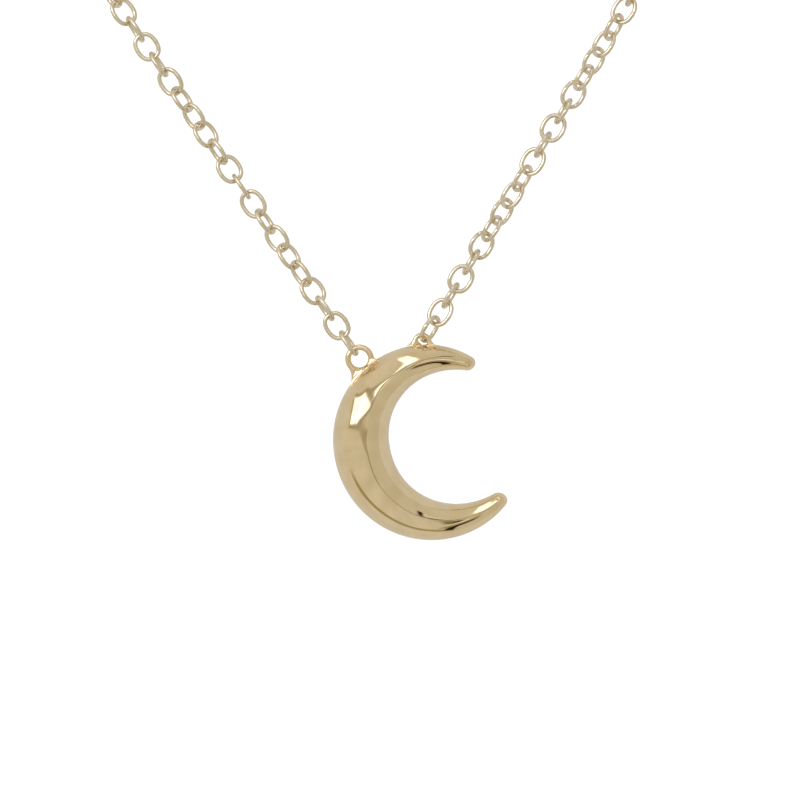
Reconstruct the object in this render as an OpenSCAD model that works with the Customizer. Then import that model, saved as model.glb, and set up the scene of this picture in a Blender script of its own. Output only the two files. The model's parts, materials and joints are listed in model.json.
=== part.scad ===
// A fine cable-chain necklace with a puffed crescent moon fixed into the chain by its upper edge.
// It lies flat on a table with its clasp open. Z is up, +Y runs from the pendant towards the clasp.
// The origin is on the flat back of the moon, at the crescent's widest place.

/* [Crescent moon] */
// Radius of the moon's middle line where the crescent is widest
moon_r = 4.22; // [3.8:0.02:4.6]
// Half the crescent's greatest width
moon_half_w = 1.57; // [1.3:0.01:1.8]
// How far the upper horn opens out of the round
moon_flare_up = 0.33; // [0:0.01:0.6]
// How far the lower horn opens out of the round
moon_flare_low = 0.61; // [0:0.01:0.8]
// Radius of the upper horn's round tip
moon_tip_up = 0.42; // [0.35:0.01:0.5]
// Radius of the lower horn's round tip
moon_tip_low = 0.47; // [0.35:0.01:0.55]
// Angle from the widest place to either tip, about the moon's centre
moon_half_span = 123.5; // [110:0.5:130]
// Direction that the crescent's opening faces, counter-clockwise from +X
moon_tilt = 11.5; // [-20:0.5:30]
// Height of the dome over the back plate
dome_h = 1.9; // [1.5:0.05:2.2]
// Thickness of the flat back plate
plate_t = 0.35; // [0.3:0.01:0.5]
// Wall of the hollow front shell
wall_t = 0.25; // [0.2:0.01:0.3]

/* [Soldered rings] */
// Radius of the left ring's middle line
left_ring_r = 0.64; // [0.6:0.01:0.7]
// Radius of the left ring's wire
left_ring_wire_r = 0.16; // [0.14:0.01:0.17]
// Radius of the right ring's middle line
right_ring_r = 0.4; // [0.38:0.01:0.42]
// Radius of the right ring's wire
right_ring_wire_r = 0.13; // [0.11:0.01:0.13]

/* [Chain] */
// Length of a link outside
link_l = 1.7; // [1.68:0.01:1.71]
// Width of a link outside
link_w = 1.39; // [1.35:0.01:1.4]
// Thickness of the wire
wire_d = 0.25; // [0.22:0.01:0.25]
// Spacing of the links along the left strand, which lies taut
left_pitch = 1.17; // [1.1:0.01:1.17]
// Spacing of the links along the right strand, which lies a little slack
right_pitch = 1.09; // [1.05:0.01:1.1]
// How far each link turns past a quarter turn in the left strand
left_twist = 11.25; // [0:0.25:12]
// How far each link turns past a quarter turn in the right strand
right_twist = 10; // [0:0.25:12]
// How far each strand's direction turns inwards from the pendant to its end
strand_turn = 75; // [60:1:80]

/* [Clasp] */
// Radius of the middle line of the clasp's tube
clasp_r = 2.0; // [1.9:0.05:2.2]
// Radius of the clasp's tube outside
clasp_tube_r = 0.6; // [0.58:0.01:0.62]
// Radius of the sliding bolt
bolt_r = 0.4; // [0.38:0.01:0.4]
// Angle of the clasp's mouth
mouth_angle = 60; // [50:1:65]
// Radius of the middle line of the ring that the clasp hooks into
end_ring_r = 1.3; // [1.2:0.05:1.4]

/* [Hidden] */
single_links = 3;
runs = 9;
links_in_run = 18;
strand_links = single_links + runs * links_in_run;
left_single = [for (k = [1:single_links]) str("left_link_", k)];
right_single = [for (k = [1:single_links]) str("right_link_", k)];
left_run = [for (k = [1:runs]) str("left_chain_", k)];
right_run = [for (k = [1:runs]) str("right_chain_", k)];
$fn = 24;

gold = [0.80, 0.68, 0.45];
pale_gold = [0.86, 0.76, 0.55];
steel = [0.62, 0.62, 0.64];
// the chain lies with its middle line at this height, so upright links just clear the table
chain_z = 0.7;
// play between two pieces that hang in each other
slack = 0.02;
// gap that the solder fills between the back plate and the front shell
solder_gap = 0.01;
// how far a soldered piece bites into its neighbour
solder_bite = 0.05;

function unit(angle) = [cos(angle), sin(angle)];
function flat_point(p, z) = [p.x, p.y, z];

// ---- the moon's outline: t runs from -1 at the upper tip over 0 at the widest place to 1 at the lower tip
moon_centre = -moon_r * unit(180 + moon_tilt);
body_rows = 44;
cap_rows = 4;
cap_step = 90 / (cap_rows + 0.35);
width_power = 0.95;
height_power = 0.9;
flare_power = 1.5;
function moon_dir(t) = 180 + moon_tilt + moon_half_span * t;
function moon_mid_r(t) = moon_r + (t > 0 ? moon_flare_low : moon_flare_up) * pow(abs(t), flare_power);
function tip_r(t) = t > 0 ? moon_tip_low : moon_tip_up;
function half_w(t) = tip_r(t) + (moon_half_w - tip_r(t)) * pow(max(0, cos(90 * t)), width_power);
function dome_at(w) = dome_h * pow(w / moon_half_w, height_power);
// length along the middle line for one unit of t, at a tip
function tip_arc(side) = moon_mid_r(side) * moon_half_span * PI / 180;

// the rows across the crescent as [t, half width], with round tips, all drawn in by the same inset
function cap(side, inset) = [
    for (k = [1:cap_rows]) [
        side * (1 + (tip_r(side) - inset) * sin(k * cap_step) / tip_arc(side)),
        (tip_r(side) - inset) * cos(k * cap_step)
    ]
];
function reversed(list) = [for (i = [len(list) - 1:-1:0]) list[i]];
function moon_rows(inset) = concat(
    reversed(cap(-1, inset)),
    [for (i = [0:body_rows]) let (t = 2 * i / body_rows - 1) [t, half_w(t) - inset]],
    cap(1, inset)
);
// a point beside the middle line, x outwards
function beside(t, x) = moon_centre + (moon_mid_r(t) + x) * unit(moon_dir(t));
function outline(rows) = concat(
    [for (row = rows) beside(row[0], row[1])],
    [for (row = reversed(rows)) beside(row[0], -row[1])]
);

// ---- a dome over the outline: one half-ellipse of points for each row
function dome_points(rows, steps) = [
    for (row = rows)
        for (j = [0:steps])
            let (a = 180 * j / steps)
            flat_point(beside(row[0], row[1] * cos(a)), plate_t + dome_at(row[1]) * sin(a))
];
function quad(a, b, c, d) = [[a, b, c], [a, c, d]];
function flattened(lists) = [for (list = lists) for (item = list) item];
function skin(count, steps, first, inside) = flattened([
    for (i = [0:count - 2])
        for (j = [0:steps - 1])
            let (a = first + i * (steps + 1) + j, b = a + steps + 1)
            inside ? quad(a, a + 1, b + 1, b) : quad(a, b, b + 1, a + 1)
]);

module moon_front_shell() {
    outer_steps = 16;
    inner_steps = 8;
    outer = moon_rows(0);
    inner = moon_rows(wall_t);
    n = len(outer);
    // the inner skin's points follow the outer skin's
    base = n * (outer_steps + 1);
    function o(i, end) = i * (outer_steps + 1) + (end ? outer_steps : 0);
    function n_in(i, end) = base + i * (inner_steps + 1) + (end ? inner_steps : 0);
    rim = flattened([
        for (i = [0:n - 2]) concat(
            quad(o(i, false), n_in(i, false), n_in(i + 1, false), o(i + 1, false)),
            quad(o(i, true), o(i + 1, true), n_in(i + 1, true), n_in(i, true))
        )
    ]);
    rim_ends = concat(
        quad(o(0, false), o(0, true), n_in(0, true), n_in(0, false)),
        quad(o(n - 1, true), o(n - 1, false), n_in(n - 1, false), n_in(n - 1, true))
    );
    outer_ends = [
        [for (j = [0:outer_steps]) j],
        [for (j = [outer_steps:-1:0]) o(n - 1, false) + j]
    ];
    inner_ends = [
        [for (j = [inner_steps:-1:0]) base + j],
        [for (j = [0:inner_steps]) n_in(n - 1, false) + j]
    ];
    color(gold)
        polyhedron(
            points = concat(dome_points(outer, outer_steps), dome_points(inner, inner_steps)),
            faces = concat(
                skin(n, outer_steps, 0, false),
                skin(n, inner_steps, base, true),
                rim, rim_ends, outer_ends, inner_ends
            )
        );
}

module moon_back_plate() {
    color(gold)
        linear_extrude(height = plate_t - solder_gap)
            polygon(outline(moon_rows(0)));
}

// ---- the two rings soldered to the moon's upper edge
left_ring_dir = 134;
right_ring_dir = 98.8;
right_ring_reach = 5.45;
// the right ring's ends stop inside the shell's wall
right_ring_arc = 240;
function t_at(dir) = (dir - 180 - moon_tilt) / moon_half_span;
function moon_edge(dir) = moon_mid_r(t_at(dir)) + half_w(t_at(dir));
// how far the left ring sinks into the shell's edge, so that its solder runs a little way around it
left_ring_sunk = 0.22;
left_ring_reach = moon_edge(left_ring_dir) + left_ring_r + left_ring_wire_r - left_ring_sunk;
left_ring_centre = moon_centre + left_ring_reach * unit(left_ring_dir);
right_ring_centre = moon_centre + right_ring_reach * unit(right_ring_dir);

module round_ring(radius, wire_r) {
    rotate_extrude()
        translate([radius, 0])
            circle(r = wire_r);
}

module left_ring() {
    color(gold)
        translate(flat_point(left_ring_centre, chain_z))
            round_ring(left_ring_r, left_ring_wire_r);
}

module right_ring() {
    color(gold)
        translate(flat_point(right_ring_centre, chain_z))
            rotate(right_ring_dir - right_ring_arc / 2)
                rotate_extrude(angle = right_ring_arc)
                    translate([right_ring_r, 0])
                        circle(r = right_ring_wire_r);
}

// ---- the chain: every link follows the one before it, a pitch further along the strand's direction
left_heading = 124.5;
right_heading = 58.4;
bend_power = 2;
// half the length of a link between the middles of its end wires
link_reach = (link_l - wire_d) / 2;
// the first links hang in the soldered rings
left_start = left_ring_centre
    + (left_ring_r - left_ring_wire_r - wire_d / 2 - slack + link_reach) * unit(left_heading);
right_start = right_ring_centre
    + (right_ring_r - right_ring_wire_r - wire_d / 2 - slack + link_reach) * unit(right_heading);
function left_dir(i) = left_heading - strand_turn * pow(i / strand_links, bend_power);
function right_dir(i) = right_heading + strand_turn * pow(i / strand_links, bend_power);
left_route = [
    for (i = 0, p = left_start; i < strand_links; p = p + left_pitch * unit(left_dir(i)), i = i + 1) p
];
right_route = [
    for (i = 0, p = right_start; i < strand_links; p = p + right_pitch * unit(right_dir(i)), i = i + 1) p
];
// each link is turned a quarter and a little more against the last; these links lie square
left_square_link = 1;
right_square_link = 3;
function left_roll(i) = 90 * (i + 1) + left_twist * (i - left_square_link);
function right_roll(i) = 90 * (i + 1) + right_twist * (i - right_square_link);

module oval_link() {
    bend_r = (link_w - wire_d) / 2;
    half_straight = (link_l - link_w) / 2;
    for (side = [-1, 1]) {
        translate([side * half_straight, 0, 0])
            rotate(side > 0 ? -90 : 90)
                rotate_extrude(angle = 180)
                    translate([bend_r, 0])
                        circle(d = wire_d);
        translate([0, side * bend_r, 0])
            rotate([0, 90, 0])
                cylinder(d = wire_d, h = 2 * half_straight, center = true);
    }
}

module placed_link(place, heading, roll) {
    translate(flat_point(place, chain_z))
        rotate(heading)
            rotate([roll, 0, 0])
                oval_link();
}

module left_links(first, last) {
    color(gold)
        for (i = [first:last])
            placed_link(left_route[i], left_dir(i), left_roll(i));
}

module right_links(first, last) {
    color(gold)
        for (i = [first:last])
            placed_link(right_route[i], right_dir(i), right_roll(i));
}

function run_start(k) = single_links + k * links_in_run;

// ---- the spring-ring clasp at the end of the left strand
jump_r = 0.6;
jump_wire_r = 0.13;
jump_roll = 65;
eye_r = 0.55;
eye_wire_r = 0.18;
clasp_heading = left_dir(strand_links - 1);
jump_centre = left_route[strand_links - 1]
    + (link_reach - wire_d / 2 - jump_wire_r - slack + jump_r) * unit(clasp_heading);
eye_centre = jump_centre
    + (jump_r - jump_wire_r - eye_wire_r - slack + eye_r) * unit(clasp_heading);
clasp_centre = eye_centre
    + (eye_r + eye_wire_r + clasp_r + clasp_tube_r - solder_bite) * unit(clasp_heading);
bore_r = bolt_r + slack;
// angles about the clasp's own axis, from the strand's direction: the eye sits at 180
mouth_start = -20;
mouth_end = mouth_start + mouth_angle;
// the closed bolt reaches a little way into a pocket beyond the mouth
bolt_bite = 8;
pocket_depth = 15;
bolt_tip = mouth_start - bolt_bite;
bolt_end = mouth_end + 45;
spring_end = 300;
// the slot lets the lever travel by the mouth's angle, and stops short of the eye
lever_angle = mouth_end + 22;
lever_r = 0.15;
lever_reach = 0.55;
slot_half = lever_r + 0.04;
slot_play = 6;
// how far a cut runs past the face that it opens
overrun = 1;

module clasp_place() {
    translate(flat_point(clasp_centre, chain_z))
        rotate(clasp_heading)
            children();
}

// a stretch of ring between two angles, with the cross-section given by children
module sector(from, to) {
    rotate(from)
        rotate_extrude(angle = to - from)
            children();
}

module clasp_tube() {
    color(gold)
        clasp_place()
            difference() {
                sector(mouth_end, mouth_start + 360)
                    translate([clasp_r, 0])
                        circle(r = clasp_tube_r);
                // the bore holds the bolt and its spring, and ends where the tube is left solid
                sector(mouth_end - overrun, spring_end)
                    translate([clasp_r, 0])
                        circle(r = bore_r);
                // the pocket beyond the mouth takes the bolt's tip
                sector(mouth_start - pocket_depth, mouth_start + overrun)
                    translate([clasp_r, 0])
                        circle(r = bore_r);
                sector(lever_angle - slot_play, lever_angle + mouth_angle + slot_play)
                    translate([clasp_r, -slot_half])
                        square([2 * clasp_tube_r, 2 * slot_half]);
            }
}

module clasp_bolt() {
    color(pale_gold)
        clasp_place()
            sector(bolt_tip, bolt_end)
                translate([clasp_r, 0])
                    circle(r = bolt_r);
}

module clasp_lever() {
    color(pale_gold)
        clasp_place()
            rotate(lever_angle)
                translate([clasp_r + bolt_r - solder_bite, 0, 0])
                    rotate([0, 90, 0])
                        cylinder(r = lever_r, h = lever_reach);
}

module clasp_eye() {
    color(gold)
        translate(flat_point(eye_centre, chain_z))
            round_ring(eye_r, eye_wire_r);
}

module clasp_jump_ring() {
    color(gold)
        translate(flat_point(jump_centre, chain_z))
            rotate(clasp_heading)
                rotate([jump_roll, 0, 0])
                    round_ring(jump_r, jump_wire_r);
}

// the coil that pushes the bolt shut, wound along the bore's own curve
module clasp_spring() {
    coils = 9;
    rings_in_coil = 8;
    sides = 6;
    spring_wire_r = 0.05;
    coil_r = 0.3;
    count = coils * rings_in_coil;
    // the coil stops just short of the bolt and of the bore's end
    from = bolt_end + 2;
    span = spring_end - 3 - from;
    function along(i) = from + span * i / count;
    function spoke(i, r) = [clasp_r + r * cos(360 * i / rings_in_coil), r * sin(360 * i / rings_in_coil)];
    function turned(q, a) = [q[0] * cos(a), q[0] * sin(a), q[1]];
    points = [
        for (i = [0:count])
            for (k = [0:sides - 1])
                let (q = spoke(i, coil_r + spring_wire_r * cos(360 * k / sides)))
                turned(q, along(i) + spring_wire_r * sin(360 * k / sides) / clasp_r * 180 / PI)
    ];
    sleeve = flattened([
        for (i = [0:count - 1])
            for (k = [0:sides - 1])
                let (next = (k + 1) % sides, a = i * sides, b = a + sides)
                quad(a + k, a + next, b + next, b + k)
    ]);
    ends = [
        [for (k = [sides - 1:-1:0]) k],
        [for (k = [0:sides - 1]) count * sides + k]
    ];
    color(steel)
        clasp_place()
            polyhedron(points = points, faces = concat(sleeve, ends));
}

// ---- the ring at the end of the right strand, which the clasp hooks into
end_ring_wire_r = 0.2;
end_heading = right_dir(strand_links - 1);
end_ring_centre = right_route[strand_links - 1]
    + (link_reach - wire_d / 2 - end_ring_wire_r - slack + end_ring_r) * unit(end_heading);

module end_ring() {
    color(gold)
        translate(flat_point(end_ring_centre, chain_z))
            round_ring(end_ring_r, end_ring_wire_r);
}

moon_front_shell();
moon_back_plate();
left_ring();
right_ring();
for (k = [0:single_links - 1]) {
    left_links(k, k);
    right_links(k, k);
}
for (k = [0:runs - 1]) {
    left_links(run_start(k), run_start(k + 1) - 1);
    right_links(run_start(k), run_start(k + 1) - 1);
}
clasp_jump_ring();
clasp_tube();
clasp_eye();
clasp_bolt();
clasp_lever();
clasp_spring();
end_ring();
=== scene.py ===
"""A fine cable-chain necklace with a puffed crescent moon, made for close views around the fixed frame.

Lengths are millimetres and angles are degrees until a mesh is made. The driving dimensions repeat those
of the plain solids. Each piece takes its material slot from the node it stands for, and its body too, but
the clasp's spring is left on no body.
"""

import json
import math

import bmesh
import bpy
from mathutils import Matrix, Vector, noise

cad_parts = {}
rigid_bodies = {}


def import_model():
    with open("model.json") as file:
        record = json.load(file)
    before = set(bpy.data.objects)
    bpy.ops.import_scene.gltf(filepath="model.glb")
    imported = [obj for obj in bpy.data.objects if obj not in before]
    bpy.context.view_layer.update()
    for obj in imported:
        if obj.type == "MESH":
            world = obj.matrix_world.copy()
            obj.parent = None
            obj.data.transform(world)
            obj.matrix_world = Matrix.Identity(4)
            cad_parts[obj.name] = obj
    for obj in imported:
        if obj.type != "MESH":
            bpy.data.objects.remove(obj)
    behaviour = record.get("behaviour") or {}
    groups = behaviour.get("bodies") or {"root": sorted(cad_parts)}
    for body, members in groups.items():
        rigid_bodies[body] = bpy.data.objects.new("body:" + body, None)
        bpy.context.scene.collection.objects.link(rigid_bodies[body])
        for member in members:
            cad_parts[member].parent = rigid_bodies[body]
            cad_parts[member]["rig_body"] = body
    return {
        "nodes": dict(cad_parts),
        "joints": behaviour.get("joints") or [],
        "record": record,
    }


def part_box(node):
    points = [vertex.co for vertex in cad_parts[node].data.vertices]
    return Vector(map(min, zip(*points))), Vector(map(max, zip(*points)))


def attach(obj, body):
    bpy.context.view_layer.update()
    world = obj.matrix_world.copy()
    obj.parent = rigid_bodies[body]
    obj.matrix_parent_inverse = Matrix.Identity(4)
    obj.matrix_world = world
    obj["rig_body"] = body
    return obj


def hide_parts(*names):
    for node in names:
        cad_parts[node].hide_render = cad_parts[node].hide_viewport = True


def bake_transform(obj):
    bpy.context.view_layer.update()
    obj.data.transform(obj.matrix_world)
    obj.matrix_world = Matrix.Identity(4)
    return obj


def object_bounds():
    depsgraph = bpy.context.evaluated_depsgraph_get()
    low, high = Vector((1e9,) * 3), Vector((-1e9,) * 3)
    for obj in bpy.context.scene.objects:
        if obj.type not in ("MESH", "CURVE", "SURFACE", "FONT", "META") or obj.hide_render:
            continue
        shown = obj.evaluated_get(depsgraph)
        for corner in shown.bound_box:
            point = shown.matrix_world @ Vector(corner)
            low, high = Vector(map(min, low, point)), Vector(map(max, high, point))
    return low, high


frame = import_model()
cad_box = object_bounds()

MM = 0.001
MICROMETRE = 1e-6
UP = Vector((0, 0, 1))

# ---- driving dimensions
MOON_R = 4.22
MOON_HALF_W = 1.57
MOON_FLARE = {-1: 0.33, 1: 0.61}
MOON_TIP = {-1: 0.42, 1: 0.47}
MOON_HALF_SPAN = 123.5
MOON_TILT = 11.5
DOME_H = 1.9
PLATE_T = 0.35
WALL_T = 0.25
LEFT_RING_R, LEFT_RING_WIRE_R, LEFT_RING_DIR = 0.64, 0.16, 134
RIGHT_RING_R, RIGHT_RING_WIRE_R, RIGHT_RING_DIR = 0.40, 0.13, 98.8
RIGHT_RING_REACH = 5.45
LINK_L, LINK_W, WIRE_D = 1.70, 1.39, 0.25
SLACK = 0.02
SINGLE_LINKS, RUNS, LINKS_IN_RUN = 3, 9, 18
STRAND_LINKS = SINGLE_LINKS + RUNS * LINKS_IN_RUN
STRAND_TURN = 75
CHAIN_Z = 0.7
# side, heading of the first link, pitch, turn of each link past a quarter turn, the link that lies square
LEFT_STRAND = ("left", 124.5, 1.17, 11.25, 1)
RIGHT_STRAND = ("right", 58.4, 1.09, 10, 3)
CLASP_R, CLASP_TUBE_R, BORE_R, BOLT_R = 2.0, 0.6, 0.42, 0.4
# angles along the clasp's circle, and half the slot's width
MOUTH_START, MOUTH_END = -20, 40
SLOT_START, SLOT_END, SLOT_HALF = 56, 128, 0.19
BOLT_TIP, BOLT_END = -28, 85
BORE_END, POCKET_END, LEVER_ANGLE = 300, 325, 62


def sin(angle):
    return math.sin(math.radians(angle))


def cos(angle):
    return math.cos(math.radians(angle))


def unit(angle):
    return Vector((cos(angle), sin(angle), 0))


def spread(start, end, count):
    """Count values from start to end, both included."""
    return [start + (end - start) * k / (count - 1) for k in range(count)]


def middle_of(node):
    """The middle of a node's box, in millimetres."""
    low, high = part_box(node)
    return (low + high) / 2 / MM


def flattened(point):
    """The point straight below, at height nought."""
    return Vector((point.x, point.y, 0))


# ---- shader trees
class Tree:
    """A node tree under construction: each call adds a node, feeds it and gives back one output."""

    def __init__(self, owner):
        owner.use_nodes = True
        self.tree = owner.node_tree
        self.tree.nodes.clear()

    def add(self, kind, inputs=(), output=0, **settings):
        node = self.tree.nodes.new(kind)
        for name, value in settings.items():
            setattr(node, name, value)
        for key, value in dict(inputs).items():
            if isinstance(value, bpy.types.NodeSocket):
                self.tree.links.new(value, node.inputs[key])
            else:
                node.inputs[key].default_value = value
        return node.outputs[output] if len(node.outputs) else node

    def math(self, operation, a, b=0.0):
        return self.add("ShaderNodeMath", {0: a, 1: b}, operation=operation)

    def polynomial(self, value, coefficients):
        """The sum of each coefficient times the next power of value, from the constant upwards."""
        total = coefficients[-1]
        for coefficient in coefficients[-2::-1]:
            total = self.math("ADD", self.math("MULTIPLY", total, value), coefficient)
        return total

    def ramp(self, value, from_low, from_high, to_low=0.0, to_high=1.0):
        """A smooth step of value between two limits."""
        inputs = {"Value": value, "From Min": from_low, "From Max": from_high}
        inputs.update({"To Min": to_low, "To Max": to_high})
        return self.add("ShaderNodeMapRange", inputs, interpolation_type="SMOOTHSTEP")

    def mix(self, share, a, b):
        """Colour a, or b where share is 1. The node's socket 0 is the share, and 6 and 7 are its colours."""
        return self.add("ShaderNodeMix", {0: share, 6: a, 7: b}, output=2, data_type="RGBA")

    def noise(self, place, scale, detail=2.0, roughness=0.5):
        inputs = {"Vector": place, "Scale": scale, "Detail": detail, "Roughness": roughness}
        return self.add("ShaderNodeTexNoise", inputs)


def colour(red, green, blue):
    return (red, green, blue, 1.0)


# ---- light, floor and camera
def straight_edged(tree, x, y, edges, grow=0.0):
    """1 inside a straight-edged patch of the sky. An edge is (a, b, c, softness), with ax + by > c inside."""
    inside = 1.0
    for a, b, c, soft in edges:
        side = tree.math("ADD", tree.math("MULTIPLY", x, a), tree.math("MULTIPLY", y, b))
        inside = tree.math("MULTIPLY", inside, tree.ramp(side, c - grow - soft, c - grow + soft))
    return inside


def curved_band(tree, x, y, centre, half_width, ends, soft):
    """1 along a curve of the sky: its middle in x and its half width are polynomials in y."""
    end_soft = 0.04
    off = tree.math("ABSOLUTE", tree.math("SUBTRACT", x, tree.polynomial(y, centre)))
    off = tree.math("SUBTRACT", off, tree.polynomial(y, half_width))
    inside = tree.ramp(off, -soft, soft, 1, 0)
    inside = tree.math("MULTIPLY", inside, tree.ramp(y, ends[0] - end_soft, ends[0] + end_soft))
    return tree.math("MULTIPLY", inside, tree.ramp(y, ends[1] - end_soft, ends[1] + end_soft, 1, 0))


def tent_cloth(tree, direction, x, y):
    """The tent's pale cloth: dimmer away from the key light, with faint folds that run to its peak."""
    peak = (0.32, 0.08, 0)
    fold_scale, fold_strength = 4.5, 0.7
    near_light, far_from_light = colour(0.78, 0.75, 0.715), colour(0.62, 0.595, 0.53)
    cloth = tree.mix(tree.ramp(x, -0.8, 0.9), near_light, far_from_light)
    from_peak = tree.add("ShaderNodeVectorMath", {0: direction, 1: peak}, operation="SUBTRACT")
    flat = tree.add("ShaderNodeVectorMath", {0: from_peak, 1: (1, 1, 0)}, operation="MULTIPLY")
    around = tree.add("ShaderNodeVectorMath", {0: flat}, operation="NORMALIZE")
    folds = tree.ramp(tree.noise(around, fold_scale, 3.0), 0.35, 0.65)
    cloth = tree.mix(tree.math("MULTIPLY", folds, fold_strength), cloth, colour(0.61, 0.605, 0.52))
    # a dim stretch just above the horizon on the -Y side, like a tent's hem
    out = tree.math("SQRT", tree.math("ADD", tree.math("POWER", x, 2.0), tree.math("POWER", y, 2.0)))
    hem = tree.math("MULTIPLY", tree.ramp(out, 0.90, 0.95), tree.ramp(out, 0.975, 0.995, 1, 0))
    hem = tree.math("MULTIPLY", hem, tree.ramp(y, -0.5, -0.25, 1, 0))
    hem = tree.math("MULTIPLY", hem, tree.ramp(x, 0.2, 0.5, 1, 0))
    return tree.mix(hem, cloth, colour(0.36, 0.33, 0.17))


LAMP_WHITE = colour(1.9, 1.9, 2.1)
NEAR_BLACK = colour(0.02, 0.012, 0.0)
# the soft box's four edges, for straight_edged
SOFT_BOX = [
    (-0.53, -1.0, -0.27, 0.012),
    (0.085, 1.0, 0.118, 0.012),
    (1.0, 0.0, -0.83, 0.03),
    (0.0, -1.0, -0.54, 0.02),
]
SOFT_BOX_RIM = 0.045
# Bright and dark bands, set for the lines that the polished moon should reflect seen from above.
# Each is its middle and half width as polynomials in y, then its ends, softness, strength and colour.
BANDS = [
    # towards +Y: a bright strip, a paler band beside it and a dark line between them
    ((0.35, -0.28, -0.10, 0, -0.2), (0, 0.08), (0.14, 0.94), 0.014, 1.0, LAMP_WHITE),
    ((0.262, 0.35), (0.012,), (0.22, 0.50), 0.010, 0.8, colour(1.05, 1.01, 0.93)),
    ((0.295, 0.33), (0.002, 0.05), (0.12, 0.52), 0.010, 1.0, NEAR_BLACK),
    # towards -Y: a broad shaded band
    ((0.282, -1.04, -1.3), (-0.2125, -1.1, -1.0), (-0.88, -0.24), 0.03, 0.9, colour(0.30, 0.24, 0.14)),
    # towards -Y: a dim bent band, its dark side, its bright edge and a dark spot at its upper end
    ((0.352, -0.25, -0.695), (0.010, -0.25, -0.695), (-0.42, 0.0), 0.012, 1.0, colour(0.24, 0.21, 0.10)),
    ((0.352, -0.50, -1.39), (0.004, -0.06), (-0.38, 0.0), 0.010, 1.0, colour(0.03, 0.02, 0.0)),
    ((0.390, -0.50, -1.39), (0.014,), (-0.42, 0.0), 0.008, 1.0, colour(1.15, 1.11, 1.02)),
    ((0.345, -0.75), (0.004, -0.12), (-0.19, 0.02), 0.012, 1.0, colour(0.05, 0.035, 0.01)),
    # low towards +X and -Y: a thin dark line
    ((0.646, 0.25, -0.143), (0.012, -0.035), (-0.93, -0.36), 0.014, 1.0, NEAR_BLACK),
]


def studio_sky():
    """A pale tent with a soft box, and bands that shape the metal's reflections. It isn't an even light."""
    world = bpy.data.worlds.new("studio")
    bpy.context.scene.world = world
    tree = Tree(world)
    direction = tree.add("ShaderNodeTexCoord")
    split = tree.tree.nodes.new("ShaderNodeSeparateXYZ")
    tree.tree.links.new(direction, split.inputs[0])
    x, y, z = split.outputs
    sky = tent_cloth(tree, direction, x, y)

    patches = [
        (straight_edged(tree, x, y, SOFT_BOX, grow=SOFT_BOX_RIM), 0.8, colour(0.36, 0.33, 0.22)),
        (straight_edged(tree, x, y, SOFT_BOX), 1.0, LAMP_WHITE),
    ]
    for middle, half_width, ends, soft, strength, shade in BANDS:
        patches.append((curved_band(tree, x, y, middle, half_width, ends, soft), strength, shade))
    overhead = tree.ramp(z, 0.0, 0.12)
    for inside, strength, shade in patches:
        share = tree.math("MULTIPLY", tree.math("MULTIPLY", inside, overhead), strength)
        sky = tree.mix(share, sky, shade)

    path = tree.tree.nodes.new("ShaderNodeLightPath")
    seen = tree.mix(path.outputs["Is Camera Ray"], sky, colour(1.0, 1.0, 1.0))
    shader = tree.add("ShaderNodeBackground", {"Color": seen, "Strength": 1.0})
    tree.add("ShaderNodeOutputWorld", {"Surface": shader})


def area_light(name, place, aim, size, power):
    """A soft box of the given size in metres and power in watts, turned towards aim."""
    data = bpy.data.lights.new(name, "AREA")
    data.shape = "RECTANGLE"
    data.size, data.size_y = size
    data.energy = power
    light = bpy.data.objects.new(name, data)
    bpy.context.scene.collection.objects.link(light)
    light.location = place
    light.rotation_mode = "QUATERNION"
    light.rotation_quaternion = (Vector(place) - Vector(aim)).to_track_quat("Z", "Y")


def pale_floor():
    """A white sheet that the necklace lies on. It glows, and more to the camera than in reflections."""
    reach = 6.0
    height = cad_box[0].z - 0.01 * MM
    bm = bmesh.new()
    corners = [(-reach, -reach), (reach, -reach), (reach, reach), (-reach, reach)]
    bm.faces.new([bm.verts.new((x, y, height)) for x, y in corners])
    mesh = bpy.data.meshes.new("floor")
    bm.to_mesh(mesh)
    bm.free()
    floor = bpy.data.objects.new("floor", mesh)
    bpy.context.scene.collection.objects.link(floor)

    material = bpy.data.materials.new("floor_white")
    tree = Tree(material)
    place = tree.add("ShaderNodeTexCoord", output="Object")
    tone = tree.ramp(tree.noise(place, 3.0), 0.2, 0.8, 0.99, 1.0)
    path = tree.tree.nodes.new("ShaderNodeLightPath")
    in_reflections, in_view = colour(0.42, 0.42, 0.41), colour(0.90, 0.90, 0.90)
    glow = tree.mix(path.outputs["Is Camera Ray"], in_reflections, in_view)
    lit = tree.add("ShaderNodeEmission", {"Color": glow, "Strength": tone})
    cloth = tree.add("ShaderNodeBsdfDiffuse", {"Color": colour(0.34, 0.34, 0.34)})
    both = tree.add("ShaderNodeAddShader", {0: lit, 1: cloth})
    tree.add("ShaderNodeOutputMaterial", {"Surface": both})
    floor.data.materials.append(material)


def key_light():
    """A weak lamp in the direction of the sky's soft box."""
    area_light("key", place=(-0.28, 0.21, 0.6), aim=(0, 0.05, 0), size=(0.2, 0.12), power=0.2)


def straight_down_camera():
    """Looks straight down on the pendant, which fills the lower middle of a 44 mm wide view."""
    view_width = 44.4 * MM
    # the view's middle, at the height of the chain's middle line
    aim = Vector((2.08, 3.01, CHAIN_Z)) * MM
    data = bpy.data.cameras.new("camera")
    data.lens = 200
    data.sensor_width = 36
    distance = view_width * data.lens / data.sensor_width
    data.clip_start, data.clip_end = distance / 10, distance * 100
    camera = bpy.data.objects.new("camera", data)
    camera.location = aim + UP * distance
    bpy.context.scene.collection.objects.link(camera)
    bpy.context.scene.camera = camera


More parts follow.
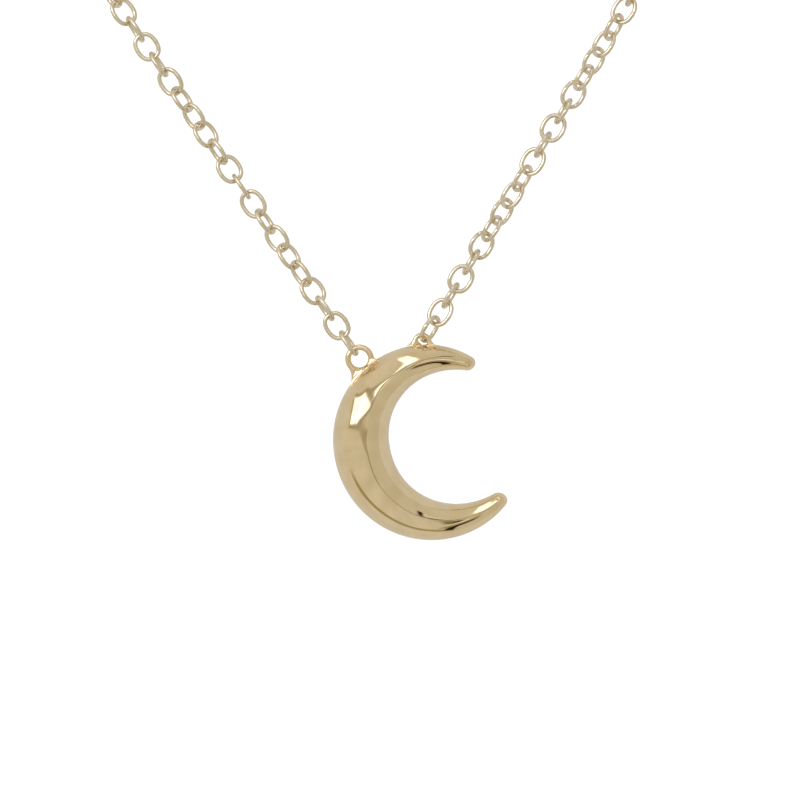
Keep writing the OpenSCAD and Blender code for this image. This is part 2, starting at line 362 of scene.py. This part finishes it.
# ---- materials
def polished_metal(name, tint, shade, roughness, haze, hairline, grain):
    """Polished metal: two close tints in soft clouds, hazy patches, and hairline marks from the wheel.

    haze is how much the roughness varies, hairline the depth of the marks in micrometres, and grain
    their length against their width.
    """
    material = bpy.data.materials.new(name)
    tree = Tree(material)
    place = tree.add("ShaderNodeTexCoord", output="Object")
    in_mm = tree.add("ShaderNodeMapping", {"Vector": place, "Scale": (1 / MM, 1 / MM, 1 / MM)})
    clouds = tree.noise(in_mm, 0.9, 3.0)
    patches = tree.noise(in_mm, 3.5, 5.0, 0.6)
    stretched = tree.add(
        "ShaderNodeMapping",
        {"Vector": in_mm, "Rotation": (0.3, 0.5, 0.9), "Scale": (1.0, grain, grain)},
    )
    marks = tree.noise(stretched, 5.0, 4.0, 0.65)
    pits = tree.noise(in_mm, 26.0, 2.0)

    base = tree.mix(tree.ramp(clouds, 0.35, 0.65), tint, shade)
    gloss = tree.ramp(patches, 0.3, 0.75, roughness, roughness + haze)
    pit_share = 0.35
    relief = tree.math("ADD", marks, tree.math("MULTIPLY", pits, pit_share))
    bumps = tree.add("ShaderNodeBump", {"Height": relief, "Distance": hairline * MICROMETRE, "Strength": 1.0})
    inputs = {"Base Color": base, "Metallic": 1.0, "Roughness": gloss, "Normal": bumps}
    shader = tree.add("ShaderNodeBsdfPrincipled", inputs)
    tree.add("ShaderNodeOutputMaterial", {"Surface": shader})
    return material


def metals():
    """The finish of each of the record's material slots."""
    gold_light = colour(0.86, 0.70, 0.45)
    gold_deep = colour(0.81, 0.64, 0.39)
    return {
        "moon_gold": polished_metal("moon_gold", gold_light, gold_deep, 0.025, 0.035, 0.25, 8.0),
        "chain_gold": polished_metal(
            "chain_gold", colour(0.83, 0.74, 0.575), colour(0.76, 0.66, 0.49), 0.08, 0.08, 1.2, 5.0
        ),
        "clasp_gold": polished_metal("clasp_gold", gold_light, gold_deep, 0.08, 0.07, 1.0, 7.0),
        "bolt_gold": polished_metal(
            "bolt_gold", colour(0.88, 0.76, 0.54), colour(0.84, 0.70, 0.47), 0.06, 0.06, 1.4, 12.0
        ),
        "spring_steel": polished_metal(
            "spring_steel", colour(0.56, 0.56, 0.58), colour(0.48, 0.48, 0.51), 0.2, 0.12, 1.5, 9.0
        ),
    }


# ---- meshes
# points nearer than this, in millimetres, are merged
SAME_PLACE = 1e-6
SLOT_OF = {row["node"]: row["material_slot"] for row in frame["record"]["subparts"]}
METALS = metals()


def grid_faces(rows, columns, first=0, loop=False):
    """Quads between neighbouring rows of points. Each row closes on itself, and with loop the rows do too."""
    faces = []
    for i in range(rows if loop else rows - 1):
        here = first + i * columns
        after = first + (i + 1) % rows * columns
        for j in range(columns):
            k = (j + 1) % columns
            faces.append((here + j, here + k, after + k, after + j))
    return faces


def finished(node, points, faces, bend=None):
    """Makes the piece that stands for a node: on its body, in its slot's metal, from points in millimetres.

    With bend the piece is baked in place and put on no body. The values that bend holds are not used.
    """
    bm = bmesh.new()
    corners = [bm.verts.new(Vector(p) * MM) for p in points]
    for face in faces:
        bm.faces.new([corners[i] for i in face])
    # rows that end in a point have all their points in one place
    bmesh.ops.remove_doubles(bm, verts=bm.verts, dist=SAME_PLACE * MM)
    bmesh.ops.recalc_face_normals(bm, faces=bm.faces)
    mesh = bpy.data.meshes.new(node + "_finished")
    bm.to_mesh(mesh)
    bm.free()
    mesh.shade_smooth()
    mesh.materials.append(METALS[SLOT_OF[node]])
    piece = bpy.data.objects.new(node + "_finished", mesh)
    bpy.context.scene.collection.objects.link(piece)
    body = frame["nodes"][node]["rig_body"]
    if bend:
        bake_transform(piece)
    else:
        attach(piece, body)
    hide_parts(node)
    return piece


def tube_loop(stations, place, sides):
    """A closed tube in one plane. A station is (middle, outward direction, half width, half height)."""
    points = []
    for middle, outward, half_width, half_height in stations:
        for j in range(sides):
            turn = 360 * j / sides
            local = middle + outward * (half_width * cos(turn)) + UP * (half_height * sin(turn))
            points.append(place @ local)
    return points, grid_faces(len(stations), sides, loop=True)


# ---- the moon
MOON_CENTRE = -MOON_R * unit(180 + MOON_TILT)
FLARE_POWER = 1.5
WIDTH_POWER = 0.95
HEIGHT_POWER = 0.9
# how deep and how long the waves of hand finishing are: a share of the dome's height, and millimetres
DOME_WAVE = (0.012, 1.7)
BACK_WAVE = (0.008, 1.1)


def side_of(t):
    return 1 if t > 0 else -1


def moon_dir(t):
    return 180 + MOON_TILT + MOON_HALF_SPAN * t


def t_at(direction):
    return (direction - 180 - MOON_TILT) / MOON_HALF_SPAN


def moon_mid_r(t):
    return MOON_R + MOON_FLARE[side_of(t)] * abs(t) ** FLARE_POWER


def half_w(t):
    tip = MOON_TIP[side_of(t)]
    return tip + (MOON_HALF_W - tip) * max(0.0, cos(90 * t)) ** WIDTH_POWER


def dome_at(w):
    return DOME_H * (w / MOON_HALF_W) ** HEIGHT_POWER


def edge_point(direction):
    """The point of the moon's outer edge in a direction from its centre."""
    t = t_at(direction)
    return beside(t, half_w(t), 0)


def edge_circle(direction):
    """(centre, radius) of the circle through three near points of the moon's outer edge."""
    reach = 10
    a, b, c = [edge_point(direction + turn) for turn in (-reach, 0, reach)]
    to_b, to_c = b - a, c - a
    twice_area = 2 * to_b.cross(to_c).z
    square_b, square_c = to_b.length_squared, to_c.length_squared
    across = (to_c.y * square_b - to_b.y * square_c) / twice_area
    along = (to_b.x * square_c - to_c.x * square_b) / twice_area
    offset = Vector((across, along, 0))
    return a + offset, offset.length


def moon_rows(inset, body_rows=190, cap_rows=14):
    """Rows across the crescent as (t, half width), from the upper tip to the lower, drawn in by inset."""

    def cap(side):
        radius = MOON_TIP[side] - inset
        tip_arc = math.radians(moon_mid_r(side) * MOON_HALF_SPAN)
        turns = spread(0, 90, cap_rows + 1)[1:]
        return [(side * (1 + radius * sin(a) / tip_arc), radius * cos(a)) for a in turns]

    body = [(t, half_w(t) - inset) for t in spread(-1, 1, body_rows)]
    return cap(-1)[::-1] + body + cap(1)


def beside(t, x, z):
    """A point at height z beside the crescent's middle line, x outwards."""
    return MOON_CENTRE + unit(moon_dir(t)) * (moon_mid_r(t) + x) + UP * z


def hand_worked(point, depth, size):
    """How far hand finishing has left the surface from its true height, in the unit of depth."""
    return depth * noise.noise(point / size)


def dome_row(t, w, steps, turn_back=False):
    """A half-ellipse of points over one row, from the outer edge to the inner, or back."""
    row = []
    for a in spread(180, 0, steps) if turn_back else spread(0, 180, steps):
        flat = beside(t, w * cos(a), 0)
        height = dome_at(max(w, 0)) * (1 + hand_worked(flat, *DOME_WAVE))
        row.append(flat + UP * (PLATE_T + height * sin(a)))
    return row


def make_moon_front():
    outer_steps, inner_steps = 61, 25
    points = []
    for outer, inner in zip(moon_rows(0), moon_rows(WALL_T)):
        points += dome_row(*outer, outer_steps)
        points += dome_row(*inner, inner_steps, turn_back=True)
    columns = outer_steps + inner_steps
    finished("moon_front_shell", points, grid_faces(len(points) // columns, columns))


def make_moon_back():
    """The flat back, with its lower edge rounded and its upper edge just eased."""
    solder_gap = 0.01
    lower_round, upper_round = 0.12, 0.03
    top = PLATE_T - solder_gap
    # (inset, height) up the plate's side
    levels = [(lower_round * (1 - sin(a)), lower_round * (1 - cos(a))) for a in spread(0, 90, 8)]
    levels += [(upper_round * (1 - cos(a)), top - upper_round * (1 - sin(a))) for a in spread(0, 90, 4)]
    rows_at = [moon_rows(inset) for inset, height in levels]
    across = spread(-1, 1, 11)[1:-1]
    points = []
    for i in range(len(rows_at[0])):
        for share in across:
            t, w = rows_at[0][i]
            flat = beside(t, w * share, 0)
            points.append(flat + UP * abs(hand_worked(flat, *BACK_WAVE)))
        for side in (1, -1):
            order = range(len(levels)) if side > 0 else range(len(levels) - 1, -1, -1)
            for k in order:
                t, w = rows_at[k][i]
                points.append(beside(t, side * w, levels[k][1]))
            if side > 0:
                t, w = rows_at[-1][i]
                points += [beside(t, -w * share, top) for share in across]
    columns = 2 * (len(across) + len(levels))
    finished("moon_back_plate", points, grid_faces(len(points) // columns, columns))


# ---- rings soldered to a round edge
def soldered_reach(delta, ring_out, edge_r, gap, fillet_r):
    """How far a soldered ring's metal reaches from its centre, delta away from the edge's own centre.

    The ring's outside and the edge are joined by a round fillet, and the metal ends inside the edge.
    """
    sink = 0.15
    to_fillet = ring_out + fillet_r
    at_fillet = math.degrees(
        math.acos((to_fillet**2 + gap**2 - (edge_r + fillet_r) ** 2) / (2 * to_fillet * gap))
    )
    if delta >= at_fillet:
        return ring_out
    off = to_fillet * sin(at_fillet - delta)
    if off < fillet_r:
        return to_fillet * cos(at_fillet - delta) - math.sqrt(fillet_r**2 - off**2)
    room = (edge_r - sink) ** 2 - (gap * sin(delta)) ** 2
    return max(ring_out, gap * cos(delta) - math.sqrt(room)) if room > 0 else ring_out


def soldered_ring(node, centre, ring_r, wire_r, edge, fillets, filled=(0, 0), sides=32, count=240):
    """A ring with solder drawn up its sides and its neighbour's wall.

    edge is (its centre, its radius), fillets the two in-plane radii, and filled how much solder lies
    inside the ring and in which direction.
    """
    fill_power = 1.5
    edge_centre, edge_r = edge
    towards = edge_centre - centre
    heading = math.degrees(math.atan2(towards.y, towards.x))
    gap = towards.length
    # the solder climbs the wall this far, and the wall leans in by this much over that height
    climb, lean = 0.06, 0.03
    fill, fill_direction = filled
    place = Matrix.Translation((centre.x, centre.y, CHAIN_Z))
    points = []
    for i in range(count):
        turn = -180 + 360 * i / count
        outward = unit(heading + turn)
        inside = ring_r - wire_r - fill * max(0, cos(heading + turn - fill_direction)) ** fill_power
        outside = soldered_reach(abs(turn), ring_r + wire_r, edge_r, gap, fillets[0 if turn < 0 else 1])
        for j in range(sides):
            around = 360 * j / sides
            reach = (inside + outside) / 2 + (outside - inside) / 2 * cos(around)
            from_wall = (centre + outward * reach - edge_centre).length - edge_r + lean
            steep = 1 - min(1, max(0, from_wall / climb))
            height = wire_r + climb * (1 - math.sqrt(1 - steep * steep))
            points.append(place @ (outward * reach + UP * (height * sin(around))))
    finished(node, points, grid_faces(count, sides, loop=True))


def make_moon_rings(left_centre, right_centre):
    left_edge = edge_circle(LEFT_RING_DIR)
    soldered_ring("left_ring", left_centre, LEFT_RING_R, LEFT_RING_WIRE_R, left_edge, (0.9, 0.15))
    right_edge = edge_circle(RIGHT_RING_DIR)
    # the solder has run into the lower left of this small ring
    soldered_ring(
        "right_ring", right_centre, RIGHT_RING_R, RIGHT_RING_WIRE_R, right_edge, (0.9, 0.4), (0.16, 225)
    )


# ---- the chain
# half the length and half the width of a link's middle line, and how square its oval is (2 is an ellipse)
LINK_REACH = (LINK_L - WIRE_D) / 2
BEND_R = (LINK_W - WIRE_D) / 2
OVAL_POWER = 2.3


def oval_point(angle):
    """A point of a link's middle line: an ellipse drawn out a little towards its box's corners."""
    along, across = cos(angle), sin(angle)
    fullness = (abs(along) ** OVAL_POWER + abs(across) ** OVAL_POWER) ** (-1 / OVAL_POWER)
    return Vector((LINK_REACH * along, BEND_R * across, 0)) * fullness


def link_path(count):
    """(middle, outward direction) around an oval link's wire."""
    step = 360 / count
    path = []
    for i in range(count):
        along = oval_point((i + 1) * step) - oval_point((i - 1) * step)
        path.append((oval_point(i * step), along.cross(UP).normalized()))
    return path


LINK_PATH = link_path(52)


def link(seed, place, roll, sides=14):
    """One oval link of slightly uneven wire, with the mark of its soldered joint on its upper side."""
    joint_side = 1 if sin(roll) >= 0 else -1
    wire_r = WIRE_D / 2
    unevenness, wave = 0.012, 2.2
    joint_size, bulge, groove = 0.09, 0.07, 0.035
    stations = []
    for middle, outward in LINK_PATH:
        uneven = 1 - unevenness * (1 + noise.noise(middle * wave + Vector((seed, 0, 0))))
        from_joint = math.hypot(middle.x / joint_size, (middle.y - joint_side * BEND_R) / joint_size)
        joint = bulge * math.exp(-(from_joint**2)) - groove * math.exp(-((from_joint - 2) ** 2) * 3)
        radius = wire_r * (uneven + joint)
        stations.append((middle, outward, radius, radius))
    return tube_loop(stations, place, sides)


def strand_route(strand, start):
    """(place, heading) of every link of a strand."""
    side, heading, pitch = strand[:3]
    inwards = -1 if side == "left" else 1
    route, at = [], start
    for i in range(STRAND_LINKS):
        direction = heading + inwards * STRAND_TURN * (i / STRAND_LINKS) ** 2
        route.append((at, direction))
        at = at + unit(direction) * pitch
    return route


def make_strand(strand, start):
    """All the links of a strand, one piece for each node: three single links, then runs of links."""
    side, heading, pitch, twist, square = strand
    route = strand_route(strand, start)
    groups = [(f"{side}_link_{k + 1}", k, 1) for k in range(SINGLE_LINKS)]
    groups += [
        (f"{side}_chain_{k + 1}", SINGLE_LINKS + k * LINKS_IN_RUN, LINKS_IN_RUN) for k in range(RUNS)
    ]
    for node, first, count in groups:
        points, faces = [], []
        for i in range(first, first + count):
            at, direction = route[i]
            roll = 90 * (i + 1) + twist * (i - square)
            place = Matrix.Translation(at + UP * CHAIN_Z)
            place = place @ Matrix.Rotation(math.radians(direction), 4, "Z")
            place = place @ Matrix.Rotation(math.radians(roll), 4, "X")
            link_points, link_faces = link(i + heading, place, roll)
            base = len(points)
            points += link_points
            faces += [tuple(base + corner for corner in face) for face in link_faces]
        finished(node, points, faces)
    return route[-1]


def strand_start(ring_centre, ring_r, ring_wire_r, heading):
    """Where a strand's first link lies, hanging in its soldered ring."""
    return ring_centre + (ring_r - ring_wire_r - WIRE_D / 2 - SLACK + LINK_REACH) * unit(heading)


# ---- the clasp
JUMP_R, JUMP_WIRE_R, JUMP_ROLL = 0.6, 0.13, 65
# the finished ring is a little finer than its plain solid, so that it turns freely in the last link
FINISHED_JUMP_WIRE_R = 0.12
EYE_R, EYE_WIRE_R = 0.55, 0.18
END_RING_R, END_RING_WIRE_R = 1.3, 0.2
SOLDER_BITE = 0.05
LEVER_R, LEVER_REACH = 0.15, 0.55


def clasp_point(place, angle, across, height):
    """A point in the clasp: an angle along its circle, then across outwards and height up from it."""
    return place @ (unit(angle) * (CLASP_R + across) + UP * height)


def rounded_end(angle, radius, edge_r, way, inside):
    """Stations (angle, radius) round a tube's rim, from its outer skin to its inner one."""
    step = math.degrees(edge_r / CLASP_R)
    outer = [(angle + way * step * (1 - sin(a)), radius - edge_r * (1 - cos(a))) for a in (0, 30, 60, 90)]
    inner = [(angle + way * step * (1 - sin(a)), inside + edge_r * (1 - cos(a))) for a in (90, 60, 30, 0)]
    return outer + inner


def make_clasp_tube(place):
    """The bent tube: bore, slotted outer skin and pocket, as rings of points along the clasp's circle."""
    columns, slot_columns = 44, 4
    rim = 0.06
    # the plain stretches stop this many degrees short of the slot and the mouth
    clear = 4
    slot = spread(SLOT_END, SLOT_START, 30)
    bore = [(BORE_END, 0.0), (BORE_END, BORE_R)]
    bore += [(a, BORE_R) for a in spread(BORE_END - 10, SLOT_END + clear, 40)]
    bore_slot = len(bore)
    bore += [(a, BORE_R) for a in slot]
    lip = spread(MOUTH_END + clear, SLOT_START - 3, 4)
    stations = bore + [(a, BORE_R) for a in lip[::-1]]
    stations += rounded_end(MOUTH_END, CLASP_TUBE_R, rim, 1, BORE_R)[::-1]
    stations += [(a, CLASP_TUBE_R) for a in lip]
    skin_slot = len(stations)
    stations += [(a, CLASP_TUBE_R) for a in slot[::-1]]
    mouth = 360 + MOUTH_START
    stations += [(a, CLASP_TUBE_R) for a in spread(SLOT_END + clear, mouth - clear, 70)]
    stations += rounded_end(mouth, CLASP_TUBE_R, rim, -1, BORE_R)
    stations += [(a, BORE_R) for a in spread(mouth - clear, POCKET_END, 5)] + [(POCKET_END, 0.0)]

    points = []
    for angle, radius in stations:
        # the slot's two sides lie level, so they are at a wider angle on the bore than on the skin
        slot_half = math.degrees(math.asin(SLOT_HALF / max(radius, BORE_R)))
        turns = spread(-slot_half, slot_half, slot_columns + 1)
        turns += spread(slot_half, 360 - slot_half, columns - slot_columns + 1)[1:-1]
        points += [clasp_point(place, angle, radius * cos(b), radius * sin(b)) for b in turns]

    def in_slot(face):
        row, column = min(face) // columns, min(face) % columns
        on_skin = skin_slot <= row < skin_slot + len(slot) - 1
        on_bore = bore_slot <= row < bore_slot + len(slot) - 1
        return (on_skin or on_bore) and column < slot_columns and max(face) % columns <= slot_columns

    faces = [face for face in grid_faces(len(stations), columns) if not in_slot(face)]
    # the slot's walls, between the bore's points and the skin's
    last = len(slot) - 1
    for k in range(last):
        for column in (0, slot_columns):
            inner = (bore_slot + last - k) * columns + column
            outer = (skin_slot + k) * columns + column
            faces.append((inner, inner - columns, outer + columns, outer))
    for inner_row, outer_row in ((bore_slot + last, skin_slot), (bore_slot, skin_slot + last)):
        for column in range(slot_columns):
            inner = inner_row * columns + column
            outer = outer_row * columns + column
            faces.append((inner, inner + 1, outer + 1, outer))
    tube = finished("clasp_tube", points, faces)
    eased = tube.modifiers.new("eased_edges", "BEVEL")
    eased.width = 0.02 * MM
    eased.segments = 2
    eased.limit_method = "ANGLE"
    eased.angle_limit = math.radians(40)


def make_clasp_bolt(place):
    """The sliding bolt: a bent rod with a domed tip and a chamfered inner end."""
    columns = 28
    dome = 0.28
    dome_span = math.degrees(dome / CLASP_R)
    stations = [(BOLT_TIP + dome_span * (1 - cos(a)), BOLT_R * sin(a)) for a in spread(0, 90, 9)]
    stations += [(a, BOLT_R) for a in spread(BOLT_TIP + dome_span + 1, BOLT_END - 3, 60)]
    stations += [(BOLT_END - 1, BOLT_R - 0.02), (BOLT_END, BOLT_R - 0.06), (BOLT_END, 0.0)]
    points = []
    for angle, radius in stations:
        for j in range(columns):
            turn = 360 * j / columns
            points.append(clasp_point(place, angle, radius * cos(turn), radius * sin(turn)))
    finished("clasp_bolt", points, grid_faces(len(stations), columns))


def make_clasp_lever(place):
    """The thumb pin: a stem that widens into a smooth rounded head."""
    columns = 24
    start = BOLT_R - SOLDER_BITE
    neck = start + LEVER_REACH - 2 * LEVER_R
    stem_r = 0.11
    profile = [(start, 0.0), (start, LEVER_R), (start + 0.06, LEVER_R - 0.02), (start + 0.12, stem_r)]
    profile += [(x, stem_r) for x in spread(start + 0.14, neck - 0.02, 4)]
    join = math.degrees(math.asin(stem_r / LEVER_R))
    centre = start + LEVER_REACH - LEVER_R
    profile += [(centre - LEVER_R * cos(a), LEVER_R * sin(a)) for a in spread(join, 180, 16)]
    points = []
    for along, radius in profile:
        for j in range(columns):
            turn = 360 * j / columns
            middle = unit(LEVER_ANGLE) * (CLASP_R + along)
            sideways = unit(LEVER_ANGLE + 90) * (radius * cos(turn))
            points.append(place @ (middle + sideways + UP * (radius * sin(turn))))
    finished("clasp_lever", points, grid_faces(len(profile), columns))


def make_clasp_spring(place):
    """The coil that shuts the bolt, from just past the bolt's inner end to near the end of the bore."""
    coils, steps, sides, rounding = 9, 30, 10, 3
    coil_r, wire_r = 0.3, 0.05
    start, end = BOLT_END + 2, BORE_END - 3
    count = coils * steps
    points = []
    for i in range(count + 1):
        turn = 360 * i / steps
        angle = start + (end - start) * i / count
        # the wire's ends are rounded off
        from_end = min(i, count - i, rounding)
        thickness = wire_r * math.sqrt(1 - (1 - from_end / rounding) ** 2)
        for k in range(sides):
            around = 360 * k / sides
            reach = coil_r + thickness * cos(around)
            lead = math.degrees(thickness * sin(around) / CLASP_R)
            points.append(clasp_point(place, angle + lead, reach * cos(turn), reach * sin(turn)))
    fixed = clasp_point(place, end, 0, 0)
    driven = clasp_point(place, start, 0, 0)
    finished("clasp_spring", points, grid_faces(count + 1, sides), bend=("bolt", fixed, driven))


def make_clasp_eye(clasp_centre):
    """The eye that the jump ring holds, soldered to the back of the tube."""
    centre = flattened(middle_of("clasp_eye"))
    edge = (flattened(clasp_centre), CLASP_R + CLASP_TUBE_R)
    soldered_ring("clasp_eye", centre, EYE_R, EYE_WIRE_R, edge, (0.25, 0.25))


def make_cut_ring(node, ring_r, wire_r, place, joint_angle, count=120, sides=20):
    """A round ring whose two ends meet in a fine joint."""
    joint_half = 0.03
    joint_span = math.degrees(joint_half / ring_r)
    edge_r = 0.02
    ease = math.degrees(edge_r / ring_r)
    stations = []
    for turn in spread(0, 360, count):
        from_joint = min(turn, 360 - turn)
        outward = unit(joint_angle + turn)
        # both ends are eased, and meet at a shallow groove
        pinch = 1 - joint_half / wire_r * math.exp(-((from_joint / (joint_span + ease)) ** 2))
        stations.append((outward * ring_r, outward, wire_r * pinch, wire_r * pinch))
    finished(node, *tube_loop(stations[:-1], place, sides))


def make_clasp_end(last_place, last_heading):
    """The clasp's jump ring, and all the pieces of the clasp itself."""
    facing = Matrix.Rotation(math.radians(last_heading), 4, "Z")
    jump_reach = LINK_REACH - WIRE_D / 2 - JUMP_WIRE_R - SLACK + JUMP_R
    jump_centre = last_place + jump_reach * unit(last_heading)
    jump_place = Matrix.Translation(jump_centre + UP * CHAIN_Z) @ facing
    jump_place = jump_place @ Matrix.Rotation(math.radians(JUMP_ROLL), 4, "X")
    make_cut_ring("clasp_jump_ring", JUMP_R, FINISHED_JUMP_WIRE_R, jump_place, joint_angle=80)

    # the bolt travels round the clasp's own centre
    travel = next(joint for joint in frame["joints"] if joint["name"] == "clasp_bolt_travel")
    clasp_centre = Vector(travel["pos_m"]) / MM
    place = Matrix.Translation(clasp_centre) @ facing
    make_clasp_tube(place)
    make_clasp_bolt(place)
    make_clasp_lever(place)
    make_clasp_spring(place)
    make_clasp_eye(clasp_centre)


def make_end_ring():
    place = Matrix.Translation(middle_of("end_ring"))
    make_cut_ring("end_ring", END_RING_R, END_RING_WIRE_R, place, joint_angle=35, count=160, sides=24)


def make_necklace():
    make_moon_front()
    make_moon_back()
    left_centre = flattened(middle_of("left_ring"))
    right_centre = MOON_CENTRE + RIGHT_RING_REACH * unit(RIGHT_RING_DIR)
    make_moon_rings(left_centre, right_centre)
    left_start = strand_start(left_centre, LEFT_RING_R, LEFT_RING_WIRE_R, LEFT_STRAND[1])
    last_place, last_heading = make_strand(LEFT_STRAND, left_start)
    right_start = strand_start(right_centre, RIGHT_RING_R, RIGHT_RING_WIRE_R, RIGHT_STRAND[1])
    make_strand(RIGHT_STRAND, right_start)
    make_clasp_end(last_place, last_heading)
    make_end_ring()


bpy.context.scene.view_settings.view_transform = "Standard"
studio_sky()
pale_floor()
straight_down_camera()
key_light()
make_necklace()
